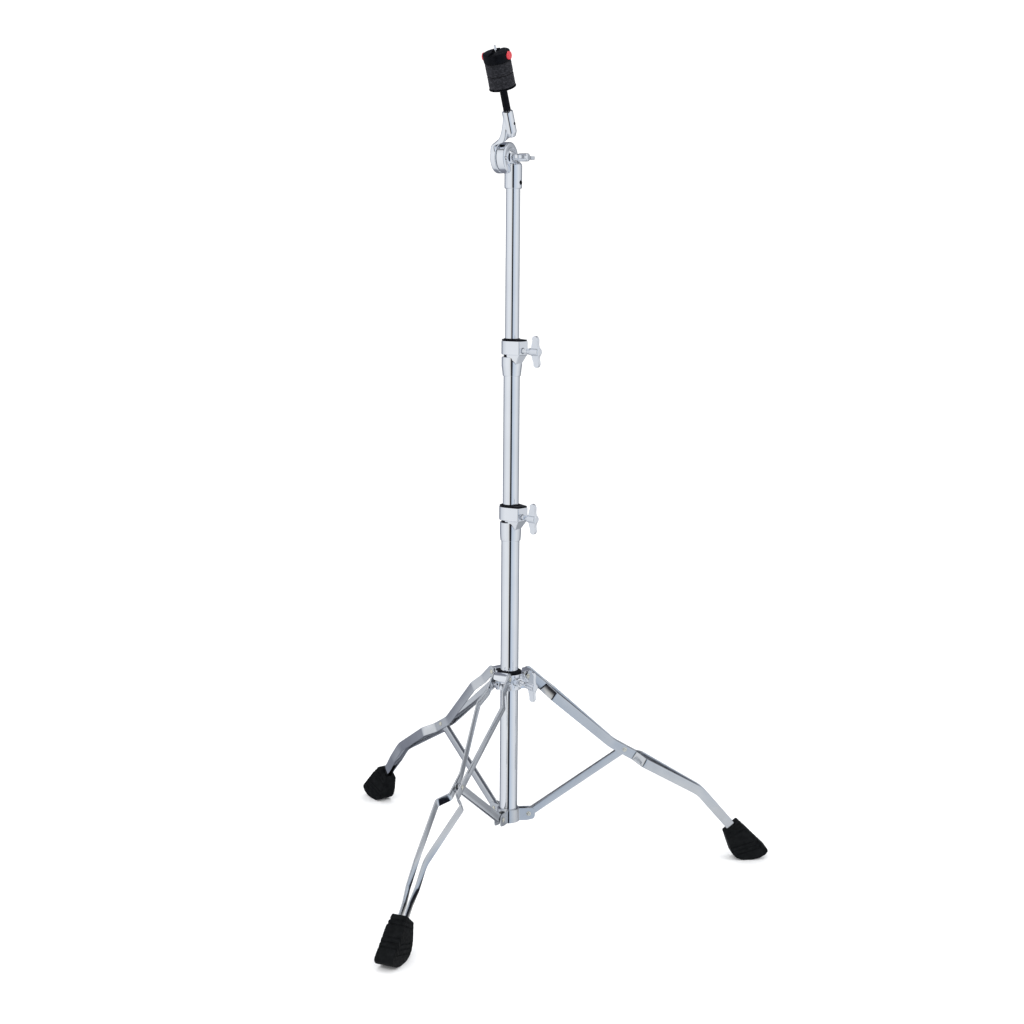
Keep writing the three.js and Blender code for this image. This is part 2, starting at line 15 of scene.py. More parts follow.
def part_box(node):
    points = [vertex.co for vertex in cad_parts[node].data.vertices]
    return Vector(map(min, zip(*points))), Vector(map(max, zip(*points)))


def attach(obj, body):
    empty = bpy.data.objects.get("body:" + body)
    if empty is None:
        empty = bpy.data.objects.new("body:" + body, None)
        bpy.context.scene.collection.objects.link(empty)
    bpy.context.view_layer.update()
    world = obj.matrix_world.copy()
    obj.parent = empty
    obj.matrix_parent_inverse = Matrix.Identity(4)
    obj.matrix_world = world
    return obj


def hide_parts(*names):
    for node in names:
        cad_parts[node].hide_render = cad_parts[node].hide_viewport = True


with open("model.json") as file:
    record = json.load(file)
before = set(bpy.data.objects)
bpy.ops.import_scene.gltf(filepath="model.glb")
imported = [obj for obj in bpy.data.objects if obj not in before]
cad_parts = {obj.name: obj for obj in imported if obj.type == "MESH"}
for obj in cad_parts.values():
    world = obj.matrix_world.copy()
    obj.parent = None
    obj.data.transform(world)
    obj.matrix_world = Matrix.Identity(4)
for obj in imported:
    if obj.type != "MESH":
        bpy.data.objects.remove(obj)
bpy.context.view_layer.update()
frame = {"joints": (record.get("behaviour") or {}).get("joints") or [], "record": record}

MM = 0.001
GAP = 0.3                    # between two pieces that touch
JOINTS = {joint["name"]: joint for joint in frame["joints"]}
BODY_OF = {node: body for body, nodes in frame["record"]["behaviour"]["bodies"].items() for node in nodes}
SLOT_OF = {part["node"]: part["material_slot"] for part in frame["record"]["subparts"]}
LEGS = ("right", "left", "front")


# ---- Frames of the pieces ------------------------------------------------------------------------

def box_mm(node):
    """Lowest and highest corner of a CAD node in millimetres."""
    low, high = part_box(node)
    return low / MM, high / MM


def tube_size(node):
    """Outer radius, bottom and top of a tube that stands on the tube axis, in millimetres."""
    low, high = box_mm(node)
    return (high.x - low.x) / 2, low.z, high.z


TUBE_LOW, TUBE_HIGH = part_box("base_tube")
AXIS = Vector(((TUBE_LOW.x + TUBE_HIGH.x) / 2, (TUBE_LOW.y + TUBE_HIGH.y) / 2, 0))


def on_axis(azimuth=0.0, height=0.0):
    """The frame on the tube axis, turned by an azimuth and lifted to a height in millimetres."""
    turn = Matrix.Rotation(azimuth, 4, "Z")
    return Matrix.Translation(AXIS + Vector((0, 0, height * MM))) @ turn @ Matrix.Scale(MM, 4)


# Legs, hub and tilter holder are written in heights that count from this one, in millimetres.
DATUM = box_mm("hub_collar")[0].z - 268.0


def joint_azimuth(name):
    axis = JOINTS[name]["axis"]
    return math.atan2(axis[1], axis[0])


def leg_azimuth(name):
    """A leg's own direction, which its hinge axis is square to."""
    return joint_azimuth(f"{name}_leg_hinge") - math.pi / 2


def radial(name):
    """A leg pivot as distance from the tube axis and height over the datum, in millimetres."""
    point = Vector(JOINTS[name]["pos_m"])
    return Vector(((point - AXIS).xy.length / MM, point.z / MM - DATUM))


# Turns an outline drawn in X and Y into one in X and Z, made solid towards -Y.
UPRIGHT = Matrix.Rotation(math.pi / 2, 4, "X")
# Turns something round Z into the same thing round X, with its +Z end at +X.
ALONG_X = Matrix.Rotation(math.pi / 2, 4, "Y")
# The same along +Y.
ALONG_Y = Matrix.Rotation(-math.pi / 2, 4, "X")


# ---- Mesh tools ----------------------------------------------------------------------------------

def make_object(name, bm):
    bmesh.ops.recalc_face_normals(bm, faces=bm.faces)
    mesh = bpy.data.meshes.new(name)
    bm.to_mesh(mesh)
    bm.free()
    piece = bpy.data.objects.new(name, mesh)
    bpy.context.scene.collection.objects.link(piece)
    return piece


def turned(piece, *steps):
    """The piece with its mesh moved by each matrix in turn."""
    for step in steps:
        piece.data.transform(step)
    return piece


def moved(piece, x=0.0, y=0.0, z=0.0):
    return turned(piece, Matrix.Translation((x, y, z)))


def fillet(corners, steps=4, closed=True):
    """An outline from corners (x, y) or (x, y, radius), each rounded with its radius."""
    points = []
    for i, corner in enumerate(corners):
        here = Vector(corner[:2])
        radius = corner[2] if len(corner) > 2 else 0.0
        if not radius or (not closed and i in (0, len(corners) - 1)):
            points.append(here)
            continue
        back = Vector(corners[i - 1][:2]) - here
        ahead = Vector(corners[(i + 1) % len(corners)][:2]) - here
        half = back.angle(ahead) / 2
        reach = min(radius / math.tan(half), 0.49 * back.length, 0.49 * ahead.length)
        start = here + back.normalized() * reach
        end = here + ahead.normalized() * reach
        for k in range(steps + 1):
            t = k / steps
            # A quadratic curve with its handle on the corner, pulled out to run close to an arc.
            inner = here.lerp((start + end) / 2, 0.12)
            points.append((1 - t) ** 2 * start + 2 * t * (1 - t) * inner + t * t * end)
    return points


def arc(centre, radius, start, end, steps):
    """Points of an arc between two angles in degrees."""
    angles = [math.radians(start + (end - start) * k / steps) for k in range(steps + 1)]
    return [Vector((centre[0] + radius * math.cos(a), centre[1] + radius * math.sin(a))) for a in angles]


def lathe(profile, sides=96, name="lathe"):
    """A profile of (radius, height) turned round Z. It closes on itself unless it starts on the axis."""
    bm = bmesh.new()
    rings = []
    for radius, height in profile:
        count = sides if radius > 1e-6 else 1
        angles = [2 * math.pi * k / sides for k in range(count)]
        rings.append([bm.verts.new((radius * math.cos(a), radius * math.sin(a), height)) for a in angles])
    pairs = list(zip(rings, rings[1:]))
    if len(rings[0]) > 1:
        pairs.append((rings[-1], rings[0]))
    for low, high in pairs:
        for k in range(sides):
            corners = [low[k % len(low)], low[(k + 1) % len(low)],
                       high[(k + 1) % len(high)], high[k % len(high)]]
            corners = list(dict.fromkeys(corners))
            if len(corners) > 2:
                bm.faces.new(corners)
    return make_object(name, bm)


def rod(radius, low, high, sides=64):
    """A plain round solid round Z, for joining or cutting."""
    return lathe([(0, low), (radius, low), (radius, high), (0, high)], sides)


def prism(outline, low, high, name="prism"):
    """An outline in X and Y made solid between two heights."""
    bm = bmesh.new()
    floor = [bm.verts.new((p[0], p[1], low)) for p in outline]
    roof = [bm.verts.new((p[0], p[1], high)) for p in outline]
    bm.faces.new(floor)
    bm.faces.new(roof)
    for k in range(len(outline)):
        following = (k + 1) % len(outline)
        bm.faces.new((floor[k], floor[following], roof[following], roof[k]))
    return make_object(name, bm)


def skin(sections, name="skin"):
    """A closed skin through sections that all have the same number of points, in order."""
    bm = bmesh.new()
    rings = [[bm.verts.new(point) for point in section] for section in sections]
    bm.faces.new(rings[0])
    bm.faces.new(rings[-1])
    for low, high in zip(rings, rings[1:]):
        for k in range(len(low)):
            following = (k + 1) % len(low)
            bm.faces.new((low[k], low[following], high[following], high[k]))
    return make_object(name, bm)


def settle_modifiers(piece):
    depsgraph = bpy.context.evaluated_depsgraph_get()
    mesh = bpy.data.meshes.new_from_object(piece.evaluated_get(depsgraph))
    piece.modifiers.clear()
    piece.data = mesh
    return piece


def combine(body, others, operation):
    """Body joined with, or cut by, each of the others."""
    for other in others:
        step = body.modifiers.new("combine", "BOOLEAN")
        step.operation = operation
        step.solver = "EXACT"
        step.object = other
        settle_modifiers(body)
        bpy.data.objects.remove(other)
    return body


def join(body, *others):
    return combine(body, others, "UNION")


def cut(body, *others):
    return combine(body, others, "DIFFERENCE")


def cast(body, voxel=0.4, rounds=5):
    """A cast look: the same solid with every edge and inside corner softened."""
    remesh = body.modifiers.new("cast", "REMESH")
    remesh.mode = "VOXEL"
    remesh.voxel_size = voxel
    smooth = body.modifiers.new("soften", "SMOOTH")
    smooth.factor = 0.5
    smooth.iterations = rounds
    return settle_modifiers(body)


def bevelled(piece, width, segments=3, angle=35):
    """Sharp edges broken by a small rounding."""
    bevel = piece.modifiers.new("bevel", "BEVEL")
    bevel.width = width
    bevel.segments = segments
    bevel.limit_method = "ANGLE"
    bevel.angle_limit = math.radians(angle)
    return settle_modifiers(piece)


# ---- Materials -----------------------------------------------------------------------------------

class Shader:
    """A Principled material whose colour, roughness and bump come from noise in millimetres."""

    def __init__(self, name, **constants):
        self.material = bpy.data.materials.new(name)
        self.material.use_nodes = True
        self.tree = self.material.node_tree
        self.surface = self.tree.nodes["Principled BSDF"]
        for socket, value in constants.items():
            self.surface.inputs[socket.replace("_", " ")].default_value = value
        self.place = self.tree.nodes.new("ShaderNodeTexCoord").outputs["Object"]

    def link(self, output, socket):
        self.tree.links.new(output, socket)

    def noise(self, size, detail=3.0, stretch=(1, 1, 1)):
        """Noise whose features are about size millimetres wide."""
        mapping = self.tree.nodes.new("ShaderNodeMapping")
        mapping.inputs["Scale"].default_value = [1 / (size * MM * s) for s in stretch]
        self.link(self.place, mapping.inputs["Vector"])
        texture = self.tree.nodes.new("ShaderNodeTexNoise")
        texture.inputs["Scale"].default_value = 1.0
        texture.inputs["Detail"].default_value = detail
        self.link(mapping.outputs["Vector"], texture.inputs["Vector"])
        return texture.outputs["Fac"]

    def cells(self, size):
        """Rounded cells about size millimetres wide."""
        texture = self.tree.nodes.new("ShaderNodeTexVoronoi")
        texture.inputs["Scale"].default_value = 1 / (size * MM)
        self.link(self.place, texture.inputs["Vector"])
        return texture.outputs["Distance"]

    def spread(self, value, low, high, start=0.35, end=0.65):
        """Value moved from between start and end to between low and high."""
        node = self.tree.nodes.new("ShaderNodeMapRange")
        for socket, number in (("From Min", start), ("From Max", end), ("To Min", low), ("To Max", high)):
            node.inputs[socket].default_value = number
        self.link(value, node.inputs["Value"])
        return node.outputs["Result"]

    def colour(self, value, *stops):
        """Base colour through a ramp of (place, colour) stops."""
        ramp = self.tree.nodes.new("ShaderNodeValToRGB")
        for element, (position, tint) in zip(ramp.color_ramp.elements, stops):
            element.position = position
            element.color = (*tint, 1)
        for position, tint in stops[2:]:
            ramp.color_ramp.elements.new(position).color = (*tint, 1)
        self.link(value, ramp.inputs["Fac"])
        self.link(ramp.outputs["Color"], self.surface.inputs["Base Color"])

    def roughness(self, value, low, high):
        self.link(self.spread(value, low, high), self.surface.inputs["Roughness"])

    def bump(self, *layers):
        """Bump from (value, depth in millimetres) layers."""
        normal = None
        for value, depth in layers:
            node = self.tree.nodes.new("ShaderNodeBump")
            node.inputs["Strength"].default_value = 1.0
            node.inputs["Distance"].default_value = depth * MM
            self.link(value, node.inputs["Height"])
            if normal:
                self.link(normal, node.inputs["Normal"])
            normal = node.outputs["Normal"]
        self.link(normal, self.surface.inputs["Normal"])


def chrome():
    shader = Shader("chrome", Metallic=1.0)
    shader.colour(shader.noise(60), (0.3, (0.82, 0.835, 0.865)), (0.7, (0.88, 0.89, 0.91)))
    shader.roughness(shader.noise(9, 5), 0.02, 0.06)
    shader.bump((shader.noise(14, 2), 0.01), (shader.noise(0.5, 2, (1, 1, 14)), 0.0004))
    return shader.material


def plated_steel():
    shader = Shader("plated_steel", Metallic=1.0)
    shader.colour(shader.noise(45), (0.3, (0.60, 0.61, 0.63)), (0.7, (0.68, 0.69, 0.705)))
    shader.roughness(shader.noise(7, 6), 0.07, 0.16)
    shader.bump((shader.noise(18, 2), 0.03), (shader.noise(0.6, 3), 0.002))
    return shader.material


def nickel():
    shader = Shader("nickel", Metallic=1.0)
    shader.colour(shader.noise(2), (0.3, (0.70, 0.67, 0.56)), (0.7, (0.82, 0.80, 0.72)))
    shader.roughness(shader.noise(1, 4), 0.16, 0.34)
    shader.bump((shader.noise(0.5, 3), 0.01))
    return shader.material


def black_plastic():
    shader = Shader("black_plastic", Metallic=0.0, Specular_IOR_Level=0.07)
    shader.colour(shader.noise(5, 4), (0.3, (0.0012, 0.0014, 0.0026)), (0.7, (0.003, 0.0035, 0.006)))
    shader.roughness(shader.noise(2, 5), 0.36, 0.52)
    shader.bump((shader.cells(0.45), 0.01), (shader.noise(6, 3), 0.02))
    return shader.material


def rubber():
    shader = Shader("rubber", Metallic=0.0, Specular_IOR_Level=0.07)
    shader.colour(shader.noise(7, 6), (0.3, (0.0025, 0.003, 0.0035)), (0.62, (0.006, 0.0068, 0.0075)),
                  (0.8, (0.012, 0.0125, 0.013)))
    shader.roughness(shader.noise(3, 6), 0.55, 0.8)
    shader.bump((shader.noise(0.7, 6), 0.04), (shader.cells(0.6), 0.02), (shader.noise(9, 2), 0.08))
    return shader.material


def felt():
    shader = Shader("felt", Metallic=0.0, Roughness=0.95, Specular_IOR_Level=0.1, Sheen_Weight=0.12,
                    Sheen_Roughness=0.5, Sheen_Tint=(0.5, 0.5, 0.56, 1))
    shader.colour(shader.noise(2.6, 8, (1.4, 1.4, 0.8)), (0.32, (0.006, 0.006, 0.008)),
                  (0.55, (0.016, 0.0165, 0.020)), (0.74, (0.040, 0.040, 0.047)))
    shader.bump((shader.noise(2.2, 5), 0.5), (shader.noise(0.35, 6, (2, 2, 0.7)), 0.28))
    return shader.material


def red_plastic():
    shader = Shader("red_plastic", Metallic=0.0, Specular_IOR_Level=0.5, Coat_Weight=0.2)
    shader.colour(shader.noise(3, 3), (0.3, (0.50, 0.022, 0.034)), (0.7, (0.62, 0.045, 0.06)))
    shader.roughness(shader.noise(1.5, 4), 0.24, 0.36)
    shader.bump((shader.noise(1.2, 3), 0.02))
    return shader.material


FINISH_MAKERS = (chrome, plated_steel, nickel, black_plastic, rubber, felt, red_plastic)
FINISHES = {make.__name__: make() for make in FINISH_MAKERS}


def set_down(piece, place, node, sharp=30):
    """Puts a finished piece in its place, on the body and in the slot of the CAD node it stands for."""
    piece.name = "fine_" + node
    piece.data.name = piece.name
    turned(piece, place)
    piece.data.shade_smooth()
    piece.data.set_sharp_from_angle(angle=math.radians(sharp))
    piece.data.materials.clear()
    piece.data.materials.append(FINISHES[SLOT_OF[node]])
    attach(piece, BODY_OF[node])
    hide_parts(node)
    return piece


def copy_of(piece):
    twin = bpy.data.objects.new(piece.name, piece.data.copy())
    bpy.context.scene.collection.objects.link(twin)
    return twin


# ---- Camera, floor and light ---------------------------------------------------------------------

CAMERA_DISTANCE = 2.231      # metres from the tube axis
CAMERA_HEIGHT = 0.896
CAMERA_AZIMUTH = math.radians(-96.346)
CAMERA_YAW = math.radians(-6.394)
CAMERA_PITCH = math.radians(9.666)
CAMERA_ROLL = 0.0081
CAMERA_LENS = 57.31          # millimetres on a 36 mm sensor


def make_camera():
    data = bpy.data.cameras.new("camera")
    data.lens = CAMERA_LENS
    data.sensor_width = 36
    data.clip_start = 0.05
    camera = bpy.data.objects.new("camera", data)
    bpy.context.scene.collection.objects.link(camera)
    aside = Vector((math.cos(CAMERA_AZIMUTH), math.sin(CAMERA_AZIMUTH), 0)) * CAMERA_DISTANCE
    turn = Matrix.Rotation(CAMERA_YAW, 4, "Z") @ Matrix.Rotation(math.pi / 2 - CAMERA_PITCH, 4, "X")
    spot = Matrix.Translation(AXIS + aside + Vector((0, 0, CAMERA_HEIGHT)))
    camera.matrix_world = spot @ turn @ Matrix.Rotation(CAMERA_ROLL, 4, "Z")
    bpy.context.scene.camera = camera


def plain_material(name, tint, spread):
    """A stage surface: a soft colour with slow noise in it."""
    shader = Shader(name, Metallic=0.0, Roughness=0.9, Specular_IOR_Level=0.1)
    low = [value * (1 - spread) for value in tint]
    shader.colour(shader.noise(900, 2), (0.3, low), (0.7, tint))
    return shader.material


def make_floor():
    size = 60.0
    floor = prism([(-size, -size), (size, -size), (size, size), (-size, size)], -0.02, -0.0005, "floor")
    floor.data.materials.append(plain_material("floor", (0.985, 0.985, 0.985), 0.005))


TENT_RADIUS = 1.15           # metres
TENT_HEIGHT = 3.4
TENT_STRENGTH = 1.0
# The tent's brightness by azimuth, counted from the camera's side towards the right in degrees.
TENT_WALL = (
    (-180, (0.20, 0.21, 0.25)),
    (-132, (0.30, 0.32, 0.38)),
    (-110, (0.72, 0.76, 0.82)),
    (-60, (0.90, 0.93, 0.97)),
    (-30, (0.86, 0.89, 0.93)),
    (-16, (0.78, 0.78, 0.77)),
    (-9, (0.02, 0.02, 0.025)),
    (7, (0.01, 0.012, 0.02)),
    (14, (0.58, 0.67, 0.80)),
    (44, (0.74, 0.80, 0.88)),
    (72, (0.84, 0.87, 0.91)),
    (110, (0.62, 0.65, 0.70)),
    (130, (0.32, 0.34, 0.37)),
    (180, (0.20, 0.21, 0.25)),
)
# Its brightness by height as a share of the tent's own.
TENT_RISE = ((0.0, 0.93), (0.42, 1.0), (0.6, 0.9), (0.68, 0.25), (0.76, 0.2), (0.84, 0.9), (1.0, 1.0))


def ramp_of(shader, value, stops):
    """A colour ramp over a value between 0 and 1."""
    ramp = shader.tree.nodes.new("ShaderNodeValToRGB")
    for element, (position, tint) in zip(ramp.color_ramp.elements, (stops[0], stops[-1])):
        element.position = position
        element.color = (*tint, 1)
    for position, tint in stops[1:-1]:
        ramp.color_ramp.elements.new(position).color = (*tint, 1)
    shader.link(value, ramp.inputs["Fac"])
    return ramp.outputs["Color"]


def make_tent():
    """A light tent round the stand, with a ground sheet, that only shows in reflections."""
    outside = TENT_RADIUS + 0.02
    sheet = 0.001
    wall = ((0, sheet), (TENT_RADIUS, sheet), (TENT_RADIUS, TENT_HEIGHT),
            (outside, TENT_HEIGHT), (outside, 0), (0, 0))
    tent = lathe(wall, 96, "tent")
    shader = Shader("tent", Roughness=1.0, Specular_IOR_Level=0.0, Emission_Strength=TENT_STRENGTH)
    shader.surface.inputs["Base Color"].default_value = (0, 0, 0, 1)
    parts = shader.tree.nodes.new("ShaderNodeSeparateXYZ")
    shader.link(shader.place, parts.inputs["Vector"])
    angle = shader.tree.nodes.new("ShaderNodeMath")
    angle.operation = "ARCTAN2"
    shader.link(parts.outputs["Y"], angle.inputs[0])
    shader.link(parts.outputs["X"], angle.inputs[1])
    around = shader.spread(angle.outputs["Value"], 0, 1, -math.pi, math.pi)
    wall_tint = ramp_of(shader, around, [((turn + 180) / 360, tint) for turn, tint in TENT_WALL])
    height = shader.spread(parts.outputs["Z"], 0, 1, 0, TENT_HEIGHT)
    rise = ramp_of(shader, height, [(share, (value,) * 3) for share, value in TENT_RISE])
    mix = shader.tree.nodes.new("ShaderNodeMix")
    mix.data_type = "RGBA"
    mix.blend_type = "MULTIPLY"
    mix.inputs[0].default_value = 1.0
    shader.link(wall_tint, mix.inputs[6])
    shader.link(rise, mix.inputs[7])
    shader.link(mix.outputs[2], shader.surface.inputs["Emission Color"])
    tent.data.materials.append(shader.material)
    # The object's own X axis points at the camera's side.
    tent.matrix_world = Matrix.Translation(AXIS) @ Matrix.Rotation(CAMERA_AZIMUTH, 4, "Z")
    for ray in ("camera", "diffuse", "transmission", "volume_scatter", "shadow"):
        setattr(tent, "visible_" + ray, False)


def area_light(name, location, size, power, tint=(1, 1, 1)):
    data = bpy.data.lights.new(name, "AREA")
    data.shape = "DISK"
    data.size = size
    data.energy = power
    data.color = tint
    light = bpy.data.objects.new(name, data)
    light.location = AXIS + Vector(location)
    aim = AXIS + Vector((0, 0, 0.55)) - light.location
    light.rotation_euler = aim.to_track_quat("-Z", "Y").to_euler()
    bpy.context.scene.collection.objects.link(light)


def make_world():
    world = bpy.data.worlds.new("studio")
    bpy.context.scene.world = world
    world.use_nodes = True
    tree = world.node_tree
    background = tree.nodes["Background"]
    place = tree.nodes.new("ShaderNodeTexCoord")
    parts = tree.nodes.new("ShaderNodeSeparateXYZ")
    ramp = tree.nodes.new("ShaderNodeValToRGB")
    ramp.color_ramp.elements[0].position = 0.0
    ramp.color_ramp.elements[0].color = (1.0, 1.0, 1.0, 1)
    ramp.color_ramp.elements[1].position = 1.0
    ramp.color_ramp.elements[1].color = (0.9, 0.91, 0.93, 1)
    tree.links.new(place.outputs["Generated"], parts.inputs["Vector"])
    tree.links.new(parts.outputs["Z"], ramp.inputs["Fac"])
    tree.links.new(ramp.outputs["Color"], background.inputs["Color"])
    background.inputs["Strength"].default_value = 1.2


def make_studio():
    make_camera()
    make_world()
    make_floor()
    make_tent()
    area_light("key", (-1.6, -2.2, 2.6), 1.6, 26)
    area_light("fill", (2.2, -1.2, 1.9), 1.4, 12)
    area_light("back", (0.6, 2.4, 2.2), 1.6, 10, (0.94, 0.97, 1))
    scene = bpy.context.scene
    scene.view_settings.view_transform = "Standard"


make_studio()


# ---- Tubes ---------------------------------------------------------------------------------------

TUBE_WALL = {"base_tube": 1.25, "middle_tube": 1.2, "upper_tube": 1.25}


def make_tubes():
    for node, wall in TUBE_WALL.items():
        radius, low, high = tube_size(node)
        ends = 0.35
        inner = radius - wall
        corners = [(inner, low, ends), (radius, low, ends), (radius, high, ends), (inner, high, ends)]
        set_down(lathe(fillet(corners), 128), on_axis(), node)


def make_end_cap():
    radius, low, high = tube_size("tube_end_cap")
    plug = radius - TUBE_WALL["base_tube"] - GAP
    corners = [(0, low), (radius - 4, low, 1), (radius - 3, low + 0.5, 1), (radius, low + 0.2, 0.5),
               (radius, low + 1.6, 0.2), (plug, low + 1.6), (plug, high, 0.5), (0, high)]
    set_down(lathe(fillet(corners, closed=False)), on_axis(), "tube_end_cap")


make_tubes()
make_end_cap()


# ---- Wing bolts ----------------------------------------------------------------------------------

SHANK = 3.0                  # radius of a wing bolt's thread
THREAD_PITCH = 1.25
WING_DEPTH = 14.0
WING_THICK = 4.4
WING_CONE = 8.0              # length of the cone before the wings
WING_NECK = 3.8              # its radius at the thread
WING_HUB = 5.4               # its radius at the wings


def thread_profile(low, high, radius=SHANK):
    """The side of a thread, as rings of a shallow groove."""
    depth = 0.35
    points = [(0, low), (radius - 0.8, low), (radius - depth, low + 0.5)]
    height = low + 0.7
    while height + THREAD_PITCH < high:
        points += [(radius, height + 0.25), (radius, height + 0.45), (radius - depth, height + 1.0)]
        height += THREAD_PITCH
    return points + [(radius - depth, high), (0, high)]


def wing_bolt(tip, hub_start, reach):
    """A wing bolt along +X whose wings stand up and down."""
    high = hub_start + WING_DEPTH
    half = [(hub_start + 0.3, 4, 1), (hub_start + 1.5, 9, 5), (hub_start + 3.6, reach - 7, 4),
            (hub_start + 3.4, reach - 2.5, 2.5), (hub_start + 6.5, reach, 3.5),
            (hub_start + 11.0, reach - 0.6, 3), (high - 0.6, reach - 5, 4), (high - 1.6, 9, 5),
            (high, 4, 1)]
    outline = fillet(half + [(x, -z, r) for x, z, r in reversed(half)])
    wings = turned(prism(outline, -WING_THICK / 2, WING_THICK / 2), UPRIGHT)
    cone_tip = hub_start - WING_CONE
    hub = fillet([(0, cone_tip), (WING_NECK, cone_tip, 0.5), (WING_HUB, hub_start + 1, 2),
                  (WING_HUB, high - 0.5, 1), (WING_HUB - 1.4, high + 0.5, 0.6), (0, high + 0.5)],
                 closed=False)
    head = join(wings, turned(lathe(hub, 48), ALONG_X))
    cast(head, 0.36, 9)
    shank = turned(lathe(thread_profile(tip, hub_start + 1), 48), ALONG_X)
    return join(head, shank)


WING_REACH = 21.5


def bolt_frame(joint, turn=0.0):
    """The frame of a bolt's joint: X along it, Z up."""
    height = JOINTS[joint]["pos_m"][2] / MM
    return on_axis(joint_azimuth(joint), height) @ Matrix.Rotation(turn, 4, "X")


# ---- Height clamps -------------------------------------------------------------------------------

# Heights are counted from the lower edge of the socket.
SOCKET_HEIGHT = 26.0
SLIT = 3.4
CLAMP_HEIGHT = 48.0
BOLT_HEIGHT = 35.0
BRIM_THICK = 1.7
CLAMPS = {
    "base": {"collar": 16.0, "reach": 23.8, "width": 19.0, "socket_low": 14.5, "socket": 14.9,
             "wing_start": 35.4, "wing_turn": 2, "holds": "base_tube", "slides": "middle_tube"},
    "middle": {"collar": 14.4, "reach": 22.0, "width": 17.0, "socket_low": 12.8, "socket": 14.0,
               "wing_start": 38.0, "wing_turn": 5, "holds": "middle_tube", "slides": "upper_tube"},
}


def clamp_outline(clamp, inset=0.0, corner=1.6):
    """From above: a circle whose tangents run out to the lug's flat face."""
    radius, reach, half = clamp["collar"] - inset, clamp["reach"] - inset, clamp["width"] / 2 - inset
    tangent = math.degrees(math.atan2(half, reach) + math.acos(radius / math.hypot(reach, half)))
    round_end = arc((0, 0), radius, tangent, 360 - tangent, 56)
    return fillet([(reach, -half, corner), (reach, half, corner)] + [tuple(p) for p in round_end])


def clamp_casting(clamp):
    holds = tube_size(clamp["holds"])[0]
    bore = holds + GAP
    collar_z = SOCKET_HEIGHT + SLIT
    collar = bevelled(prism(clamp_outline(clamp), collar_z, CLAMP_HEIGHT), 0.7)
    socket_side = [(bore, 0), (bore + 1.0, 0, 0.4), (clamp["socket_low"], 5, 3), (clamp["socket"], 14, 8),
                   (clamp["socket"], SOCKET_HEIGHT, 0.8), (bore, SOCKET_HEIGHT)]
    socket = lathe(fillet(socket_side))
    far, far_half = clamp["reach"] - 0.4, clamp["width"] / 2 - 0.4
    low_part = [(2, 10, 15), (2, -10, 15), (clamp["socket"] - 1.5, -5, 15), (clamp["socket"] - 1.5, 5, 15)]
    near_half = clamp["socket"] - 1
    neck_top = collar_z + 0.5
    top_part = [(2, near_half, neck_top), (2, -near_half, neck_top),
                (far, -far_half, neck_top), (far, far_half, neck_top)]
    neck = skin([low_part, top_part])
    body = join(collar, neck, socket)
    hole = moved(turned(rod(SHANK + 0.4, 0, 40), ALONG_X), z=BOLT_HEIGHT)
    sink = lathe([(0, -1.2), (SHANK + 0.4, -1.2), (5.2, 0.4), (0, 0.4)], 48)
    sink = moved(turned(sink, ALONG_X), x=clamp["reach"], z=BOLT_HEIGHT)
    cut(body, rod(bore, -5, CLAMP_HEIGHT + 5), hole, sink)
    return cast(body, 0.38, 6)


def clamp_brim(clamp):
    """The plastic brim over the collar and its lug."""
    hole = tube_size(clamp["holds"])[0] + GAP
    brim = bevelled(prism(clamp_outline(clamp, 0.5), 0, BRIM_THICK), 0.5)
    return cut(brim, rod(hole, -5, 5, 96))


def clamp_bushing(clamp):
    inner = tube_size(clamp["slides"])[0] + GAP
    outer = tube_size(clamp["holds"])[0]
    low, high = SOCKET_HEIGHT - 0.4, CLAMP_HEIGHT + BRIM_THICK + 1.4
    return lathe(fillet([(inner, low, 0.3), (outer, low, 0.3), (outer, high, 0.9), (inner, high, 0.5)]))


def make_clamps():
    for stage, clamp in CLAMPS.items():
        bolt = f"{stage}_bolt_turn"
        azimuth = joint_azimuth(bolt)
        floor = JOINTS[bolt]["pos_m"][2] / MM - BOLT_HEIGHT
        place = on_axis(azimuth, floor)
        set_down(clamp_casting(clamp), place, f"{stage}_clamp", 60)
        brim_place = on_axis(azimuth, floor + CLAMP_HEIGHT + GAP)
        set_down(clamp_brim(clamp), brim_place, f"{stage}_clamp_brim")
        set_down(clamp_bushing(clamp), place, f"{stage}_clamp_bushing")
        tip = tube_size(clamp["holds"])[0] + GAP
        head = wing_bolt(tip, clamp["wing_start"], WING_REACH)
        set_down(head, bolt_frame(bolt, math.radians(clamp["wing_turn"])), f"{stage}_wing_bolt", 50)


make_clamps()


# ---- Tripod hub ----------------------------------------------------------------------------------

RIVET_HOLE = 2.45
HUB_OUTER = 18.0
HUB_INNER = 13.9
HUB_LUG_HALF = 10.4
HUB_BOLT_REACH = 43.0


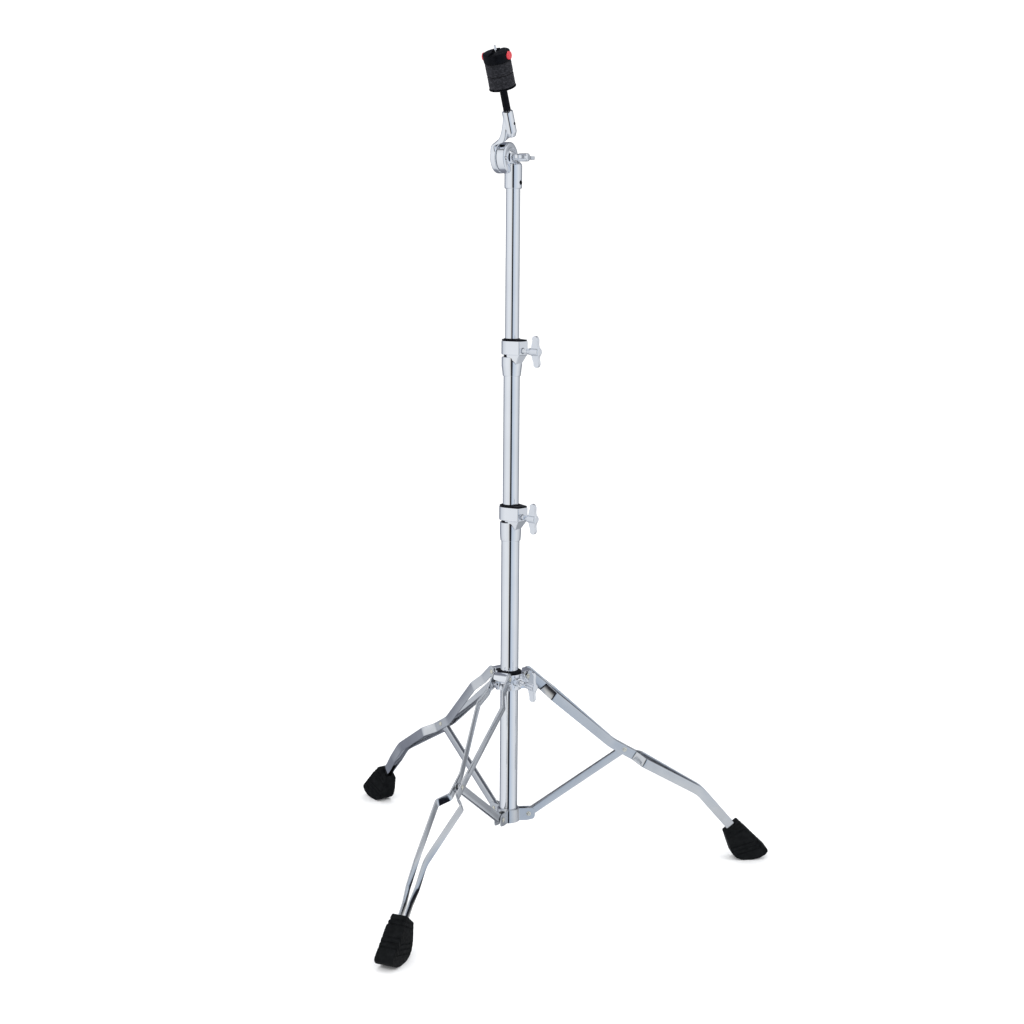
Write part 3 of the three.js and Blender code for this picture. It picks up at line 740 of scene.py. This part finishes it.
def hub_casting():
    low, high = 268.0, 291.0
    pivot = radial("right_leg_hinge")
    bolt_z = JOINTS["hub_bolt_turn"]["pos_m"][2] / MM - DATUM
    body = lathe(fillet([(HUB_INNER, low, 0.5), (HUB_OUTER - 0.6, low, 1.2), (HUB_OUTER, low + 4, 4),
                         (HUB_OUTER, high, 1.2), (HUB_INNER, high, 0.5)]))
    side = fillet([(15, low + 2), (22, low + 2, 2), (33, 281, 5), (34, 288, 5), (31.5, 294, 4),
                   (26, 296, 4), (18.6, 295, 2), (18.6, high), (15, high)])
    for name in LEGS:
        lug = turned(prism(side, -HUB_LUG_HALF, HUB_LUG_HALF), UPRIGHT)
        # A pocket under the lug leaves two cheeks and the web over them.
        pocket_side = fillet([(20.5, low - 2), (26, low - 2), (36, 279), (36, 285, 2), (29, 285, 2),
                              (20.5, 281, 3)])
        pocket = turned(prism(pocket_side, -HUB_LUG_HALF + 3.4, HUB_LUG_HALF - 3.4), UPRIGHT)
        hole = turned(rod(RIVET_HOLE, -20, 20), ALONG_Y)
        cut(lug, pocket, moved(hole, x=pivot.x, z=pivot.y))
        join(body, turned(lug, Matrix.Rotation(leg_azimuth(name), 4, "Z")))
    turn = Matrix.Rotation(joint_azimuth("hub_bolt_turn"), 4, "Z")
    boss_side = fillet([(0, 14.5), (7.2, 14.5, 0), (6.6, 20, 3), (6.4, 24.5, 1), (0, 24.5)], closed=False)
    boss = lathe(boss_side, 64)
    join(body, turned(moved(turned(boss, ALONG_X), z=bolt_z), turn))
    hole = moved(turned(rod(SHANK + 0.4, 0, 30), ALONG_X), z=bolt_z)
    cut(body, rod(HUB_INNER, low - 5, high + 10, 96), turned(hole, turn))
    return cast(body, 0.4, 6)


def make_hub():
    set_down(hub_casting(), on_axis(0, DATUM), "hub_collar", 60)
    low, high = (value.z for value in box_mm("hub_bushing"))
    inner = tube_size("base_tube")[0] + GAP
    outer, brim_z, brim = HUB_INNER - GAP, high - 4.2, 17.2
    corners = [(inner, low, 0.2), (outer, low, 0.2), (outer, brim_z), (brim, brim_z, 0.6),
               (brim, brim_z + 2.6, 1.4), (inner + 1.6, high, 0.9), (inner, high, 0.6)]
    set_down(lathe(fillet(corners)), on_axis(), "hub_bushing")
    bolt = wing_bolt(HUB_INNER + GAP, HUB_BOLT_REACH, WING_REACH)
    set_down(bolt, bolt_frame("hub_bolt_turn"), "hub_wing_bolt", 50)


def bottom_bracket():
    """Pressed sheet: a clip round the tube with a pair of ears for each brace."""
    low, high = (value.z - DATUM for value in box_mm("bottom_bracket"))
    ring, thick, ear_middle, reach = 2.8, 1.4, 4.5, 38.0
    inner = tube_size("base_tube")[0] + GAP
    outer = inner + ring
    pivot = radial("right_brace_hinge")
    body = lathe(fillet([(inner, low, 0.3), (outer, low, 0.8), (outer, high, 0.8), (inner, high, 0.3)]))
    side = fillet([(inner + 0.4, low + 0.4), (26, low + 0.4), (reach - 1.5, low + 2.5, 5),
                   (reach, low + 7, 5), (reach, high - 4, 5), (reach - 4, high - 0.4, 4),
                   (inner + 0.4, high - 0.4)])
    for name in LEGS:
        for middle in (-ear_middle, ear_middle):
            ear = turned(prism(side, middle - thick / 2, middle + thick / 2), UPRIGHT)
            hole = moved(turned(rod(RIVET_HOLE, -20, 20), ALONG_Y), x=pivot.x, z=pivot.y)
            join(body, turned(cut(ear, hole), Matrix.Rotation(leg_azimuth(name), 4, "Z")))
    cut(body, rod(inner, low - 5, high + 5, 96))
    return cast(body, 0.34, 3)


make_hub()
set_down(bottom_bracket(), on_axis(0, DATUM), "bottom_bracket", 60)


# ---- Legs, braces and rivets ---------------------------------------------------------------------

LEG_WIDTH = 13.5
LEG_THICK = 2.0
LEG_LINE = ((27.4, 289.8), (148, 184, 60), (278, 109, 45), (334, 44.5))
CREASE = 5.0                 # radius of the pressed creases
BRACE_WIDTH = 10.8
BRACE_THICK = 1.6
BRACE_MIDDLE = 2.6
BRACE_PIVOT = Vector((166.3, 174.8))
STATION_STEP = 1.2
RIVET_SHANK = 2.0
RIVET_HEAD = 3.3


def walk(points, distance):
    """The point at a distance along a line of points, carried on straight past both ends."""
    rest = distance
    for a, b in zip(points, points[1:]):
        length = (b - a).length
        if rest <= length or b is points[-1]:
            return a + (b - a) * (rest / length)
        rest -= length


def line_length(points):
    return sum((b - a).length for a, b in zip(points, points[1:]))


def leg_lateral(bend, ankle, end):
    """How far a leg bar stands from the leg's middle plane, by distance along it."""
    return fillet([(-20, 11.8), (26, 11.8, CREASE), (46, 19, CREASE), (bend, 4.7, 60),
                   (bend + 38, 4.7, CREASE), (bend + 52, 18.6, CREASE), (ankle, 6.4, 120),
                   (ankle + 34, 6.4, 30), (ankle + 56, 4.2, 30), (end + 20, 4.2)], 8, closed=False)


def height_at(profile, x):
    for a, b in zip(profile, profile[1:]):
        if x <= b.x:
            return a.y + (b.y - a.y) * (x - a.x) / (b.x - a.x)
    return profile[-1].y


def strip_section(centre, across, normal, width, thick):
    """A flat strip's section with rounded edges."""
    w, t = width / 2, thick / 2
    outline = fillet([(w, t, 0.7), (-w, t, 0.7), (-w, -t, 0.7), (w, -t, 0.7)], 3)
    return [centre + across * p.x + normal * p.y for p in outline]


def leg_bar(side):
    sharp = [Vector(p[:2]) for p in LEG_LINE]
    bend = (sharp[1] - sharp[0]).length
    ankle = bend + (sharp[2] - sharp[1]).length
    end = ankle + (sharp[3] - sharp[2]).length
    line = fillet(LEG_LINE, 16, closed=False)
    lateral = leg_lateral(bend, ankle, end)
    total = line_length(line)
    radius = LEG_WIDTH / 2

    def middle(s):
        flat = walk(line, s)
        return Vector((flat.x, side * height_at(lateral, s * end / total), flat.y))

    # The hub end is a half circle, so its stations crowd together there.
    rounds = [-radius * math.cos(math.radians(10 * k)) for k in range(1, 9)]
    count = round(total / STATION_STEP)
    stations = rounds + [total * k / count for k in range(count + 1)]
    sections = []
    for s in stations:
        run = (middle(s + 0.4) - middle(s - 0.4)).normalized()
        flat_run = Vector((run.x, 0, run.z)).normalized()
        across = Vector((-flat_run.z, 0, flat_run.x))
        width = LEG_WIDTH * math.sqrt(max(0.02, 1 - (min(s, 0) / radius) ** 2))
        sections.append(strip_section(middle(s), across, across.cross(run), width, LEG_THICK))
    body = skin(sections)
    holes = []
    for pivot in (radial("right_leg_hinge"), BRACE_PIVOT):
        holes.append(moved(turned(rod(RIVET_HOLE, -30, 30), ALONG_Y), x=pivot.x, z=pivot.y))
    return cut(body, *holes)


def brace_bar(side):
    foot_end = radial("right_brace_hinge")
    run = BRACE_PIVOT - foot_end
    radius = BRACE_WIDTH / 2
    outline = arc((0, 0), radius, 90, 270, 20) + arc((run.length, 0), radius, -90, 90, 20)
    bar = prism(outline, -BRACE_THICK / 2, BRACE_THICK / 2)
    bevelled(bar, 0.5)
    holes = [moved(rod(RIVET_HOLE, -5, 5), x=x) for x in (0, run.length)]
    cut(bar, *holes)
    turned(bar, UPRIGHT, Matrix.Rotation(-math.atan2(run.y, run.x), 4, "Y"))
    return moved(bar, foot_end.x, side * BRACE_MIDDLE, foot_end.y)


def rivet_head(base, height=0.9, radius=RIVET_HEAD):
    """Profile of a domed rivet head with a shallow dimple, ending on the axis."""
    return [(radius, base + 0.15, 0.2), (radius - 0.5, base + height * 0.8, 0.8),
            (radius - 1.5, base + height, 0.5), (1.0, base + height, 0.3),
            (0.7, base + height * 0.55, 0.3), (0, base + height * 0.55)]


def rivet(low, high, both=True):
    """A rivet along Y whose shank runs between two lateral values, headed outside."""
    top = rivet_head(high)
    shank_end = [(RIVET_SHANK, high), (RIVET_HEAD, high)]
    if both:
        bottom = [(r, -z, *rounding) for r, z, *rounding in reversed(rivet_head(-low))]
        corners = bottom + [(RIVET_HEAD, low), (RIVET_SHANK, low)] + shank_end + top
    else:
        corners = [(0, low), (RIVET_SHANK, low, 0.2)] + shank_end + top
    return turned(lathe(fillet(corners, closed=False), 40), ALONG_Y)


def make_legs():
    models = {
        "leg_bar_a": leg_bar(-1),
        "leg_bar_b": leg_bar(1),
        "brace_bar_a": brace_bar(-1),
        "brace_bar_b": brace_bar(1),
        "foot": foot(),
    }
    hub_pivot, bracket_pivot = radial("right_leg_hinge"), radial("right_brace_hinge")
    models["hub_rivet"] = moved(rivet(-13, 13), hub_pivot.x, 0, hub_pivot.y)
    models["bracket_rivet"] = moved(rivet(-5.4, 5.4), bracket_pivot.x, 0, bracket_pivot.y)
    half = rivet(3.9, 5.9, both=False)
    mirrored = turned(copy_of(half), Matrix.Rotation(math.pi, 4, "Z"))
    models["brace_rivet_a"] = moved(mirrored, BRACE_PIVOT.x, 0, BRACE_PIVOT.y)
    models["brace_rivet_b"] = moved(half, BRACE_PIVOT.x, 0, BRACE_PIVOT.y)
    for name in LEGS:
        for kind, model in models.items():
            set_down(copy_of(model), on_axis(leg_azimuth(name), DATUM), f"{name}_{kind}", 40)
    for model in models.values():
        bpy.data.objects.remove(model)


# ---- Rubber feet ---------------------------------------------------------------------------------

FOOT_HALF = 13.0
SOCKET_HALF = 5.5            # of the pocket that grips the two bars
FACE_TOP = Vector((336.2, 62.3))         # upper end of the foot's outer face
FACE_TOE = Vector((379.5, 20.0))         # its lower end
FACE_RUN = (FACE_TOE - FACE_TOP).normalized()
FACE_IN = Vector((FACE_RUN.y, -FACE_RUN.x))      # from the face into the rubber
FACE_LENGTH = (FACE_TOE - FACE_TOP).length
# Grooves by the distance of their middle along the face, and if they turn to a chevron.
GROOVES = ((8.0, False), (14.0, False), (31.0, True), (38.0, True), (45.0, True))
GROOVE_HALF = 1.3
GROOVE_DEPTH = 1.2


def groove_shift(chevron, into):
    """How far along the face a groove has moved at a depth into the side."""
    if not chevron:
        return -0.25 * into
    return 0.9 * into if into < 6 else 5.4 - 0.55 * (into - 6)


def groove_share(place):
    """How deep a point of the foot's side lies in a groove, from 0 to 1."""
    offset = Vector((place.x, place.z)) - FACE_TOP
    along, into = offset.dot(FACE_RUN), max(0.0, offset.dot(FACE_IN))
    nearest = min(abs(along - middle - groove_shift(chevron, into)) for middle, chevron in GROOVES)
    return max(0.0, 1 - (nearest / GROOVE_HALF) ** 4)


def foot():
    outline = fillet([(316.0, 44.8, 2.5), (324.8, 21, 6), (327.6, 13.5, 6), (333.5, 8, 6), (341, 5.2, 8),
                      (347, 4.6, 8), (357, 4.6, 12), (368, 7, 12), (376.5, 11.5, 6), (380, 16, 3),
                      (*FACE_TOE, 3), (*FACE_TOP, 2.5)], 6)
    body = turned(prism(outline, -FOOT_HALF, FOOT_HALF), UPRIGHT)
    run = (Vector(LEG_LINE[3][:2]) - Vector(LEG_LINE[2][:2])).normalized()
    mouth = Vector(LEG_LINE[3][:2]) - run * 12
    width = LEG_WIDTH + 2 * GAP
    pocket = [(-12, -width / 2), (13, -width / 2), (13, width / 2), (-12, width / 2)]
    socket = prism(pocket, -SOCKET_HALF, SOCKET_HALF)
    turned(socket, UPRIGHT, Matrix.Rotation(-math.atan2(run.y, run.x), 4, "Y"))
    cut(body, moved(socket, mouth.x, 0, mouth.y))
    cast(body, 0.5, 6)
    normals = [vertex.normal.copy() for vertex in body.data.vertices]
    for vertex, normal in zip(body.data.vertices, normals):
        # Grooves run over the outer face and both sides, but not inside the socket or on the sole.
        outward = -(normal.x * FACE_IN.x + normal.z * FACE_IN.y)
        in_socket = abs(vertex.co.y) <= SOCKET_HALF + 1 and outward <= 0
        facing = 0.0 if in_socket else max(outward, abs(normal.y))
        share = groove_share(vertex.co) * min(1.0, max(0.0, 2.5 * facing - 1))
        vertex.co -= normal * GROOVE_DEPTH * share
        # The rubber narrows towards the mouth, where it holds the bars.
        along = (Vector((vertex.co.x, vertex.co.z)) - FACE_TOP).dot(FACE_RUN)
        widen = min(1.0, max(0.0, along / (0.3 * FACE_LENGTH)))
        outside = max(0.0, abs(vertex.co.y) - SOCKET_HALF)
        half = min(abs(vertex.co.y), SOCKET_HALF) + outside * (0.62 + 0.38 * widen)
        vertex.co.y = math.copysign(half, vertex.co.y)
    return body


make_legs()


# ---- Tilter --------------------------------------------------------------------------------------

HINGE = Vector(JOINTS["tilt"]["pos_m"])
PIVOT = Vector(JOINTS["tilt"]["axis"]).normalized()
ROD_WAY = Vector(JOINTS["lower_felt_lift"]["axis"]).normalized()
PIVOT_HEIGHT = HINGE.z / MM - DATUM
PIVOT_SHIFT = -8.0           # of the pivot, across the tube
DISC_RADIUS = 20.6
DISC_FACE = -11.6            # where the two discs meet, along the pivot
DISC_BACK = -21.9
HOLDER_RADIUS = 11.9
ROD_OFFSET = 8.5             # of the cymbal rod, along the pivot
ROD_RADIUS = 3.2
HOLDER_SCREW = 969           # heights of the two set screws, over the datum and along the rod
ARM_SCREW = 47


def leaning(offset=0.0):
    """The tilter arm's frame: X along the pivot, Z along the rod, moved along the pivot."""
    turn = Matrix((PIVOT, ROD_WAY.cross(PIVOT), ROD_WAY)).transposed().to_4x4()
    return Matrix.Translation(HINGE + PIVOT * offset * MM) @ turn @ Matrix.Scale(MM, 4)


def on_pivot(piece):
    return moved(turned(piece, ALONG_X), y=PIVOT_SHIFT, z=PIVOT_HEIGHT)


def tilter_holder():
    low, notch, high, bore_top = 961.0, 980.4, 998.0, 978.0
    face = DISC_FACE + GAP
    shell = lathe(fillet([(0, low), (HOLDER_RADIUS - 0.6, low, 0.6), (HOLDER_RADIUS, low + 2, 1),
                          (HOLDER_RADIUS, high - 5, 5), (HOLDER_RADIUS - 5, high, 4), (0, high)],
                         closed=False))
    away = prism([(face - 20, -20), (face, -20), (face, 20), (face - 20, 20)], notch, notch + 60)
    cut(shell, away)
    disc = lathe(fillet([(0, face), (DISC_RADIUS - 1, face), (DISC_RADIUS, face + 1, 1),
                         (DISC_RADIUS, -0.3, 1), (DISC_RADIUS - 2.2, 1.4, 1), (13.5, 1.5, 1),
                         (12.6, 0.7, 0.6), (9.6, 0.7, 0.8), (8.0, 3.9, 1), (6.8, 4.5, 0.6), (0, 4.5)],
                        closed=False), 128)
    bore = rod(tube_size("upper_tube")[0] + GAP, low - 5, bore_top, 96)
    screw_hole = moved(turned(rod(2.9, 0, 20), ALONG_X), z=HOLDER_SCREW)
    body = join(shell, on_pivot(disc))
    cut(body, bore, on_pivot(rod(SHANK + 0.5, -30, 30)), screw_hole)
    return cast(body, 0.4, 6)


def tilter_arm():
    rim = DISC_FACE - GAP
    disc = lathe(fillet([(0, DISC_BACK), (DISC_RADIUS - 3.5, DISC_BACK, 2), (DISC_RADIUS, DISC_BACK + 2.2, 2),
                         (DISC_RADIUS, rim - 1, 1), (DISC_RADIUS - 1, rim), (0, rim)], closed=False), 128)
    middle = (DISC_BACK + DISC_FACE) / 2
    # Each row: place along the pivot, place along the rod, width and thickness of the arm.
    knots = ((middle, 2, 36, 9), (middle, 14, 31, 9), (-15.7, 21.5, 26, 7), (-6.75, 25, 23, 13),
             (-2.4, 29, 20.5, 11.6), (0.2, 35, 17.2, 9.6), (2.7, 43, 15, 8.6), (5.2, 53, 13, 7.5),
             (5.5, 61, 12.4, 6))
    sections = []
    for k in range(4 * (len(knots) - 1) + 1):
        x, z, width, thick = blend_knots(knots, k / 4)
        outline = fillet([(thick / 2, width / 2, 3.2), (-thick / 2, width / 2, 3.2),
                          (-thick / 2, -width / 2, 3.2), (thick / 2, -width / 2, 3.2)], 5)
        sections.append([Vector((x + p.x, p.y, z)) for p in outline])
    arm = skin(sections)
    holder_side = [(0, 29), (4.6, 29, 1.5), (7.4, 35.5, 4), (7.4, 63.5, 1.2), (6.0, 64.5, 0.6), (0, 64.5)]
    holder = lathe(fillet(holder_side, closed=False), 96)
    body = join(turned(disc, ALONG_X), arm, moved(holder, x=ROD_OFFSET))
    bore = moved(rod(ROD_RADIUS + GAP, 41, 70), x=ROD_OFFSET)
    bolt_hole = turned(rod(SHANK + 0.5, -20.3, 5), ALONG_X)
    screw_hole = moved(turned(rod(2.4, ROD_OFFSET, ROD_OFFSET + 10), ALONG_X), z=ARM_SCREW)
    cut(body, bore, bolt_hole, screw_hole)
    return cast(body, 0.4, 8)


def blend_knots(knots, t):
    """A smooth curve through rows of numbers, at a place between two of them."""
    i = min(int(t), len(knots) - 2)
    rows = [knots[max(0, min(len(knots) - 1, i + k))] for k in (-1, 0, 1, 2)]
    f = t - i
    result = []
    for a, b, c, d in zip(*rows):
        slope_in, slope_out = (c - a) / 2, (d - b) / 2
        result.append((2 * f ** 3 - 3 * f ** 2 + 1) * b + (f ** 3 - 2 * f ** 2 + f) * slope_in
                      + (3 * f ** 2 - 2 * f ** 3) * c + (f ** 3 - f ** 2) * slope_out)
    return result


def set_screw(radius, low, high):
    """A socket screw along X with a hexagonal recess."""
    screw = lathe(fillet([(0, low), (radius, low, 0.3), (radius, high, 0.5), (0, high)], closed=False), 40)
    recess = rod(radius * 0.52, high - 1.1, high + 1, 6)
    return turned(cut(screw, recess), ALONG_X)


def make_tilter():
    holder_frame = on_axis(joint_azimuth("tilt"), DATUM)
    set_down(tilter_holder(), holder_frame, "tilter_holder", 60)
    tube = tube_size("upper_tube")[0]
    screw = moved(set_screw(2.5, tube + GAP, HOLDER_RADIUS + 0.6), z=HOLDER_SCREW)
    set_down(screw, holder_frame, "holder_set_screw")
    wings = turned(wing_bolt(-20, 13, 24), Matrix.Rotation(math.pi / 2, 4, "X"))
    set_down(moved(wings, y=PIVOT_SHIFT, z=PIVOT_HEIGHT), holder_frame, "tilter_wing_bolt", 50)
    set_down(tilter_arm(), leaning(), "tilter_arm", 60)
    start = ROD_OFFSET + ROD_RADIUS + GAP
    screw = moved(set_screw(2, start, ROD_OFFSET + 7.8), z=ARM_SCREW)
    set_down(screw, leaning(), "arm_set_screw")


make_tilter()


# ---- Cymbal seat ---------------------------------------------------------------------------------

SLEEVE = 5.0
FELT_RADIUS = 18.0
FELT_HOLE = 5.35
FELT_HEIGHT = 16.6
FELT_BOTTOM = 97.4
CAP_BOTTOM = 131.2
CAP_HEIGHT = 13.4
BUTTON_RADIUS = 5.2
BUTTON_HEIGHT = 6.4          # of the buttons' middle over the cap's lower edge


def cymbal_rod():
    return lathe(fillet([(0, 42), (ROD_RADIUS, 42, 0.5), (ROD_RADIUS, 140, 0.5), (1.5, 141.5, 0.5),
                         (1.5, 151.5, 0.6), (0, 151.5)], closed=False), 48)


def rod_sleeve():
    inner, low, high, flange = ROD_RADIUS + 0.35, 65, 143, 95.5
    return lathe(fillet([(inner, low, 0.3), (SLEEVE, low, 0.8), (SLEEVE, flange, 0.6),
                         (FELT_RADIUS, flange, 0.5), (FELT_RADIUS, flange + 1.6, 0.5),
                         (SLEEVE, flange + 1.6, 0.4), (SLEEVE, high, 0.6), (inner, high, 0.3)]))


def felt_ring(seed):
    """Pressed wool: rounded edges, a slightly uneven side and a rough nap."""
    inset = 0.7
    low, high = inset * 0.3, FELT_HEIGHT - inset * 0.3
    outer = FELT_RADIUS - inset
    side = [(outer, low + 1 + (high - low - 2) * k / 34) for k in range(35)]
    cover = [(outer - 1 - (outer - 2 - FELT_HOLE) * k / 20, high) for k in range(21)]
    corners = side + [(outer - 0.3, high - 0.35)] + cover
    corners += [(FELT_HOLE, high - 0.8), (FELT_HOLE, low + 0.8)]
    corners += [(r, low) for r, z in reversed(cover)] + [(outer - 0.3, low + 0.35)]
    ring = lathe(corners, 220)
    start = Vector((seed * 31.0, seed * 17.0, 0))
    for vertex in ring.data.vertices:
        out = Vector((vertex.co.x, vertex.co.y, 0))
        if out.length < FELT_HOLE + 0.5:
            continue
        point = vertex.co + start
        nap = (0.32 * noise.noise(point * 0.22) + 0.2 * noise.noise(point * 0.9)
               + 0.13 * noise.noise(point * 2.6))
        vertex.co += out.normalized() * nap
        if vertex.co.z > high - 0.2 or vertex.co.z < low + 0.2:
            vertex.co.z -= math.copysign(abs(nap) * 0.5, vertex.co.z - FELT_HEIGHT / 2)
    return ring


def quick_cap():
    low, radius = CAP_BOTTOM, FELT_RADIUS
    top = low + CAP_HEIGHT
    hole = SLEEVE + GAP
    dome = lathe(fillet([(hole, low, 0.3), (radius - 0.4, low, 0.8), (radius, low + 1.4, 0.8),
                         (radius, low + 11.8, 1.6), (radius - 7, top - 0.15, 8), (hole, top, 0)], 6), 128)
    slot = prism([(-2.5, -30), (2.5, -30), (2.5, 30), (-2.5, 30)], top - 3, top + 5)
    tools = [slot]
    for side in (1, -1):
        pocket = turned(rod(BUTTON_RADIUS + GAP, 8.8, 30), ALONG_X)
        if side < 0:
            turned(pocket, Matrix.Rotation(math.pi, 4, "Z"))
        tools.append(moved(pocket, z=low + BUTTON_HEIGHT))
    cut(dome, *tools)
    return cast(dome, 0.3, 3)


def push_button():
    """A round button along +X with a ring and a slightly domed face."""
    inner, outer, radius = 11.5, 20.4, BUTTON_RADIUS
    corners = [(0, inner), (radius, inner, 0.3), (radius, outer - 0.9, 0.8), (radius - 1.1, outer - 0.3, 0.5),
               (radius - 1.7, outer - 0.6, 0.3), (radius - 2.3, outer - 0.25, 0.3), (2, outer, 2), (0, outer)]
    return moved(turned(lathe(fillet(corners, closed=False), 64), ALONG_X), z=CAP_BOTTOM + BUTTON_HEIGHT)


def make_seat():
    place = leaning(ROD_OFFSET)
    set_down(cymbal_rod(), place, "cymbal_rod")
    set_down(rod_sleeve(), place, "rod_sleeve")
    for count, node in enumerate(("lower_felt", "upper_felt")):
        ring = moved(felt_ring(count + 1), z=FELT_BOTTOM + count * (FELT_HEIGHT + GAP))
        set_down(ring, place, node, 80)
    set_down(quick_cap(), place, "quick_release_cap", 50)
    button = push_button()
    set_down(copy_of(button), place, "right_button")
    set_down(turned(button, Matrix.Rotation(math.pi, 4, "Z")), place, "left_button")


make_seat()
